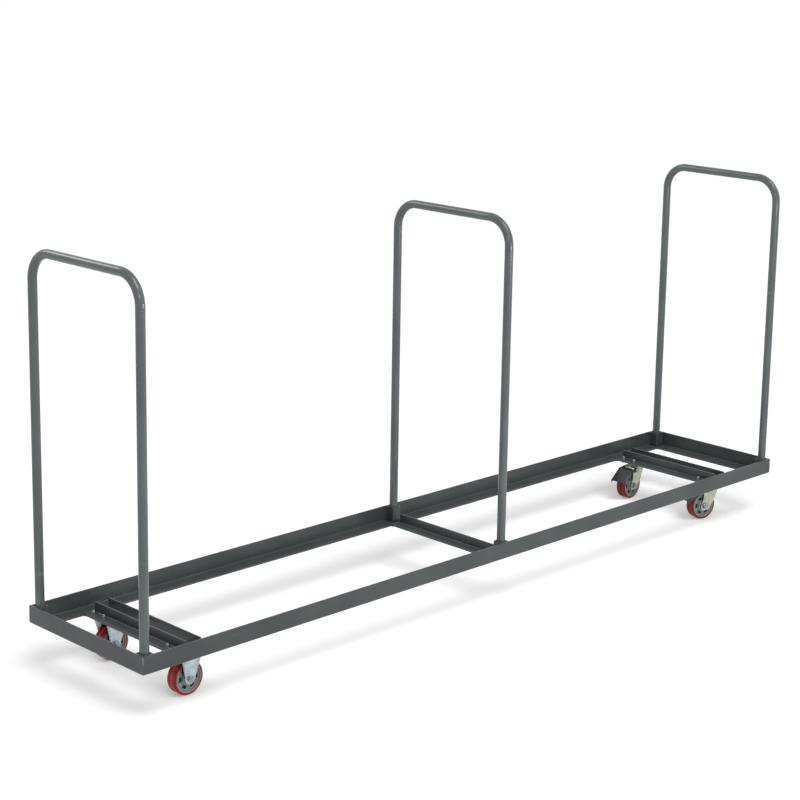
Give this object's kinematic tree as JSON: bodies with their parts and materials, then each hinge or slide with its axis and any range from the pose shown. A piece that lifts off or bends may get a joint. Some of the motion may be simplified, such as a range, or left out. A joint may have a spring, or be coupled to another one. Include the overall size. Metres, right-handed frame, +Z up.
{
  "type": "chair cart",
  "caption": "Long low cart for folded chairs: a frame of steel angle on rigid and braked swivel casters, with tube hoops that stand up across it.",
  "frame": {"origin": "on the floor under the centre of the base frame", "axes": "+X along the cart from the rigid casters to the swivel casters, +Y across the cart to its rear side, +Z up"},
  "size_m": [2.65, 0.493, 1.143],
  "materials": {
    "grey_powder_coat": "satin dark grey powder coat",
    "zinc_fasteners": "bright zinc plate",
    "blue_zinc_sheet": "blue-white zinc plate",
    "yellow_zinc_sheet": "pale yellowish zinc plate",
    "bearing_steel": "ground steel",
    "grey_wheel_plastic": "moulded grey plastic",
    "red_polyurethane": "glossy red polyurethane",
    "black_brake_steel": "black coated steel",
    "brake_rubber": "black rubber"
  },
  "bodies": {
    "frame": {"front_side_rail": "grey_powder_coat", "rear_side_rail": "grey_powder_coat", "left_end_rail": "grey_powder_coat", "right_end_rail": "grey_powder_coat", "left_outer_cross_angle": "grey_powder_coat", "left_inner_cross_angle": "grey_powder_coat", "middle_cross_angle": "grey_powder_coat", "right_inner_cross_angle": "grey_powder_coat", "right_outer_cross_angle": "grey_powder_coat", "left_hoop_sockets": "grey_powder_coat", "middle_hoop_sockets": "grey_powder_coat", "right_hoop_sockets": "grey_powder_coat", "caster_bolts": "zinc_fasteners", "caster_washers": "zinc_fasteners", "caster_nuts": "zinc_fasteners", "rigid_axle_bolts": "zinc_fasteners", "rigid_axle_nuts": "zinc_fasteners", "rigid_axle_sleeves": "bearing_steel", "front_left_fork": "blue_zinc_sheet", "rear_left_fork": "blue_zinc_sheet", "front_right_top_plate": "yellow_zinc_sheet", "front_right_kingpin": "zinc_fasteners", "front_right_lower_race": "bearing_steel", "rear_right_top_plate": "yellow_zinc_sheet", "rear_right_kingpin": "zinc_fasteners", "rear_right_lower_race": "bearing_steel"},
    "left_hoop_body": {"left_hoop": "grey_powder_coat"},
    "middle_hoop_body": {"middle_hoop": "grey_powder_coat"},
    "right_hoop_body": {"right_hoop": "grey_powder_coat"},
    "front_right_swivel_body": {"front_right_fork": "yellow_zinc_sheet", "front_right_race_balls": "bearing_steel", "front_right_axle_bolt": "zinc_fasteners", "front_right_axle_nut": "zinc_fasteners", "front_right_axle_sleeve": "bearing_steel", "front_right_brake_rivets": "zinc_fasteners"},
    "front_right_brake_body": {"front_right_brake_lever": "black_brake_steel", "front_right_brake_shoe": "brake_rubber"},
    "rear_right_swivel_body": {"rear_right_fork": "yellow_zinc_sheet", "rear_right_race_balls": "bearing_steel", "rear_right_axle_bolt": "zinc_fasteners", "rear_right_axle_nut": "zinc_fasteners", "rear_right_axle_sleeve": "bearing_steel", "rear_right_brake_rivets": "zinc_fasteners"},
    "rear_right_brake_body": {"rear_right_brake_lever": "black_brake_steel", "rear_right_brake_shoe": "brake_rubber"},
    "front_left_wheel_body": {"front_left_wheel_core": "grey_wheel_plastic", "front_left_tread": "red_polyurethane", "front_left_wheel_bearings": "bearing_steel"},
    "rear_left_wheel_body": {"rear_left_wheel_core": "grey_wheel_plastic", "rear_left_tread": "red_polyurethane", "rear_left_wheel_bearings": "bearing_steel"},
    "front_right_wheel_body": {"front_right_wheel_core": "grey_wheel_plastic", "front_right_tread": "red_polyurethane", "front_right_wheel_bearings": "bearing_steel"},
    "rear_right_wheel_body": {"rear_right_wheel_core": "grey_wheel_plastic", "rear_right_tread": "red_polyurethane", "rear_right_wheel_bearings": "bearing_steel"}
  },
  "joints": [
    {"name": "left_hoop_lift", "type": "slide", "parent": "frame", "child": "left_hoop_body", "axis": [0, 0, 1], "range_m": [0, 0.06]},
    {"name": "middle_hoop_lift", "type": "slide", "parent": "frame", "child": "middle_hoop_body", "axis": [0, 0, 1], "range_m": [0, 0.06]},
    {"name": "right_hoop_lift", "type": "slide", "parent": "frame", "child": "right_hoop_body", "axis": [0, 0, 1], "range_m": [0, 0.06]},
    {"name": "front_left_wheel_roll", "type": "hinge", "parent": "frame", "child": "front_left_wheel_body", "pos_m": [-1.1255, -0.16, 0.047], "axis": [0, 1, 0], "continuous": true},
    {"name": "rear_left_wheel_roll", "type": "hinge", "parent": "frame", "child": "rear_left_wheel_body", "pos_m": [-1.1255, 0.16, 0.047], "axis": [0, 1, 0], "continuous": true},
    {"name": "front_right_caster_swivel", "type": "hinge", "parent": "frame", "child": "front_right_swivel_body", "pos_m": [1.1105, -0.16, 0.1115], "axis": [0, 0, 1], "continuous": true},
    {"name": "front_right_wheel_roll", "type": "hinge", "parent": "front_right_swivel_body", "child": "front_right_wheel_body", "pos_m": [1.07378, -0.15023, 0.047], "axis": [0.2571, 0.9664, 0], "continuous": true},
    {"name": "front_right_brake_press", "type": "hinge", "parent": "front_right_swivel_body", "child": "front_right_brake_body", "pos_m": [1.08344, -0.1528, 0.1005], "axis": [-0.2571, -0.9664, 0], "range_deg": [0, 8]},
    {"name": "rear_right_caster_swivel", "type": "hinge", "parent": "frame", "child": "rear_right_swivel_body", "pos_m": [1.1105, 0.16, 0.1115], "axis": [0, 0, 1], "continuous": true},
    {"name": "rear_right_wheel_roll", "type": "hinge", "parent": "rear_right_swivel_body", "child": "rear_right_wheel_body", "pos_m": [1.07255, 0.15801, 0.047], "axis": [-0.0523, 0.9986, 0], "continuous": true},
    {"name": "rear_right_brake_press", "type": "hinge", "parent": "rear_right_swivel_body", "child": "rear_right_brake_body", "pos_m": [1.08254, 0.15854, 0.1005], "axis": [0.0523, -0.9986, 0], "range_deg": [0, 8]}
  ]
}
